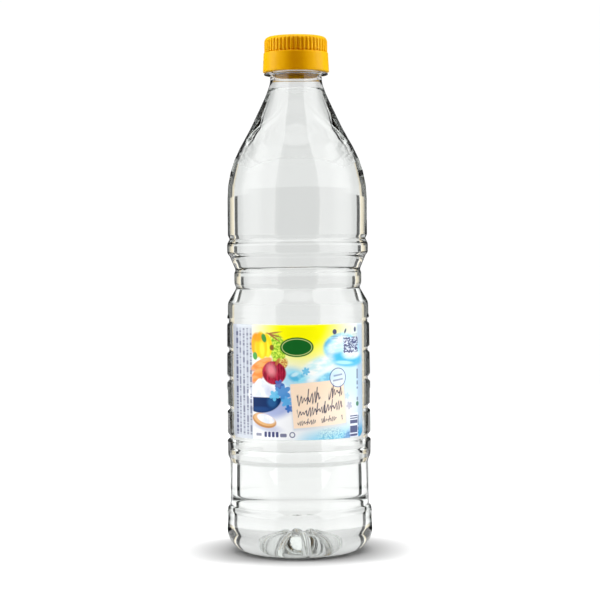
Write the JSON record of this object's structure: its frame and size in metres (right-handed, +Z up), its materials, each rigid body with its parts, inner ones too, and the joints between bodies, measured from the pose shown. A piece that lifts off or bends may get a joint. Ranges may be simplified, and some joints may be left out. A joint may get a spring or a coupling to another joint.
{
  "type": "bottle of vinegar",
  "caption": "Tall round clear plastic bottle filled with clear vinegar, with grooved side grips, a ribbed screw cap and a plain picture label.",
  "frame": {"origin": "centre of the flat ring that the bottle stands on", "axes": "+Z up along the bottle's axis; the label faces -Y, and the two grooved grips face +X and -X"},
  "size_m": [0.0798, 0.0798, 0.281],
  "materials": {
    "clear_plastic": "clear blown plastic, glossy",
    "vinegar": "clear liquid, colourless",
    "cap_plastic": "semi-gloss moulded plastic, yellow",
    "label_paper": "smooth coated paper with a printed picture of coloured shapes"
  },
  "bodies": {
    "root": {"bottle": "clear_plastic", "vinegar": "vinegar", "cap": "cap_plastic", "label": "label_paper"}
  },
  "joints": []
}
